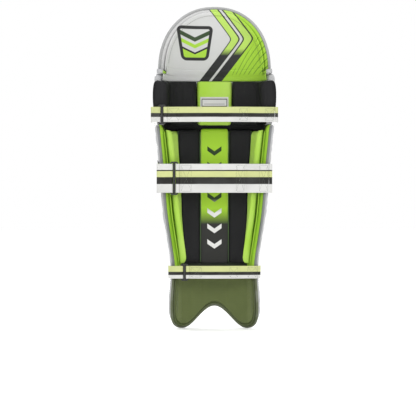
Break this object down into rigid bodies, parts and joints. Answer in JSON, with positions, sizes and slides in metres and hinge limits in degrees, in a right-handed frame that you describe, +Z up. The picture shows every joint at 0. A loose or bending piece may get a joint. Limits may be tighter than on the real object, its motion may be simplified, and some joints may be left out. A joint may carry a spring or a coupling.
{
  "type": "cricket leg pad",
  "caption": "Padded guard for the front of a batter's left leg: curved shin panel, horizontal knee rolls, rounded top hat and back straps with rings.",
  "frame": {"origin": "centre of the pad's box, at its lowest point (the two instep lobes)", "axes": "+Z up the leg, -Y the way the pad faces, +X the wearer's left, where the rings are"},
  "size_m": [0.2738, 0.1342, 0.701],
  "materials": {
    "white_leather": "coated, fine grain, satin",
    "grey_piping": "satin bound edge",
    "foam": "closed-cell foam, matt",
    "cane": "split cane, dull",
    "lime_fabric": "woven polyester, satin",
    "black_fabric": "woven polyester, matt",
    "olive_fabric": "coated fabric, matt",
    "printed_lining": "printed woven polyester",
    "striped_webbing": "woven webbing",
    "black_plastic": "moulded, semi-gloss",
    "badge": "moulded rubbery badge"
  },
  "bodies": {
    "shin": {"shin_cover": "white_leather", "foam_centre": "foam", "foam_left": "foam", "foam_right": "foam", "foam_wing_left": "foam", "foam_wing_right": "foam", "cane_rod_1": "cane", "cane_rod_2": "cane", "cane_rod_3": "cane", "cane_rod_4": "cane", "shin_lining": "lime_fabric", "centre_bolster": "lime_fabric", "inner_bolster_left": "black_fabric", "side_bolster_left": "lime_fabric", "inner_bolster_right": "black_fabric", "side_bolster_right": "lime_fabric", "instep_foam": "foam", "instep_lining": "olive_fabric", "instep_badge": "badge", "shin_binding": "grey_piping", "seam_web_1": "black_fabric", "calf_anchor": "striped_webbing", "calf_tab": "striped_webbing", "ankle_anchor": "striped_webbing", "ankle_tab": "striped_webbing"},
    "roll_lower": {"roll_lower_cover": "white_leather", "roll_lower_foam": "foam", "seam_web_2": "black_fabric", "knee_anchor": "striped_webbing", "knee_tab": "striped_webbing"},
    "roll_middle": {"roll_middle_cover": "white_leather", "roll_middle_foam": "foam", "roll_badge": "badge", "seam_web_3": "black_fabric", "cup_backing": "black_fabric", "knee_cup_centre": "lime_fabric", "knee_cup_left": "black_fabric", "knee_cup_right": "black_fabric"},
    "roll_upper": {"roll_upper_cover": "white_leather", "roll_upper_foam": "foam", "seam_web_4": "black_fabric"},
    "top_hat": {"top_hat_cover": "white_leather", "top_hat_foam": "foam", "top_hat_lining": "printed_lining", "top_hat_binding": "grey_piping"},
    "knee_strap": {"knee_strap": "striped_webbing", "knee_fold": "striped_webbing"},
    "knee_tail": {"knee_tail": "striped_webbing"},
    "knee_ring": {"knee_ring": "black_plastic"},
    "calf_strap": {"calf_strap": "striped_webbing", "calf_fold": "striped_webbing"},
    "calf_tail": {"calf_tail": "striped_webbing"},
    "calf_ring": {"calf_ring": "black_plastic"},
    "ankle_strap": {"ankle_strap": "striped_webbing", "ankle_fold": "striped_webbing"},
    "ankle_tail": {"ankle_tail": "striped_webbing"},
    "ankle_ring": {"ankle_ring": "black_plastic"}
  },
  "joints": [
    {"name": "roll_lower_bend", "type": "hinge", "parent": "shin", "child": "roll_lower", "pos_m": [0, -0.04314, 0.44799], "axis": [-1, 0, 0], "range_deg": [-3, 5], "stiffness_Nm_per_rad": 3, "deforming": ["seam_web_1"]},
    {"name": "roll_middle_bend", "type": "hinge", "parent": "roll_lower", "child": "roll_middle", "pos_m": [0, -0.04314, 0.48699], "axis": [-1, 0, 0], "range_deg": [-3, 5], "stiffness_Nm_per_rad": 3, "deforming": ["seam_web_2"]},
    {"name": "roll_upper_bend", "type": "hinge", "parent": "roll_middle", "child": "roll_upper", "pos_m": [0, -0.04314, 0.52199], "axis": [-1, 0, 0], "range_deg": [-3, 5], "stiffness_Nm_per_rad": 3, "deforming": ["seam_web_3"]},
    {"name": "top_hat_bend", "type": "hinge", "parent": "roll_upper", "child": "top_hat", "pos_m": [0, -0.04314, 0.55999], "axis": [-1, 0, 0], "range_deg": [-3, 5], "stiffness_Nm_per_rad": 3, "deforming": ["seam_web_4"]},
    {"name": "knee_strap_open", "type": "hinge", "parent": "roll_lower", "child": "knee_strap", "pos_m": [-0.13023, 0.0557, 0.46449], "axis": [0, 0, 1], "range_deg": [0, 110], "deforming": ["knee_fold"]},
    {"name": "knee_tail_peel", "type": "hinge", "parent": "knee_strap", "child": "knee_tail", "pos_m": [0.101, 0.05987, 0.46449], "axis": [0, 0, -1], "range_deg": [0, 120]},
    {"name": "knee_ring_swing", "type": "hinge", "parent": "roll_lower", "child": "knee_ring", "pos_m": [0.12, 0.05728, 0.46449], "axis": [0, 0, -1], "range_deg": [0, 60]},
    {"name": "calf_strap_open", "type": "hinge", "parent": "shin", "child": "calf_strap", "pos_m": [-0.11813, 0.03825, 0.32749], "axis": [0, 0, 1], "range_deg": [0, 110], "deforming": ["calf_fold"]},
    {"name": "calf_tail_peel", "type": "hinge", "parent": "calf_strap", "child": "calf_tail", "pos_m": [0.075, 0.04426, 0.32749], "axis": [0, 0, -1], "range_deg": [0, 120]},
    {"name": "calf_ring_swing", "type": "hinge", "parent": "shin", "child": "calf_ring", "pos_m": [0.094, 0.04185, 0.32749], "axis": [0, 0, -1], "range_deg": [0, 60]},
    {"name": "ankle_strap_open", "type": "hinge", "parent": "shin", "child": "ankle_strap", "pos_m": [-0.09364, 0.01387, 0.12399], "axis": [0, 0, 1], "range_deg": [0, 110], "deforming": ["ankle_fold"]},
    {"name": "ankle_tail_peel", "type": "hinge", "parent": "ankle_strap", "child": "ankle_tail", "pos_m": [0.053, 0.02056, 0.12399], "axis": [0, 0, -1], "range_deg": [0, 120]},
    {"name": "ankle_ring_swing", "type": "hinge", "parent": "shin", "child": "ankle_ring", "pos_m": [0.072, 0.0178, 0.12399], "axis": [0, 0, -1], "range_deg": [0, 60]}
  ],
  "couplings": [
    {"joint": "roll_middle_bend", "follows": "roll_lower_bend", "ratio": 1},
    {"joint": "roll_upper_bend", "follows": "roll_lower_bend", "ratio": 1},
    {"joint": "top_hat_bend", "follows": "roll_lower_bend", "ratio": 1}
  ]
}
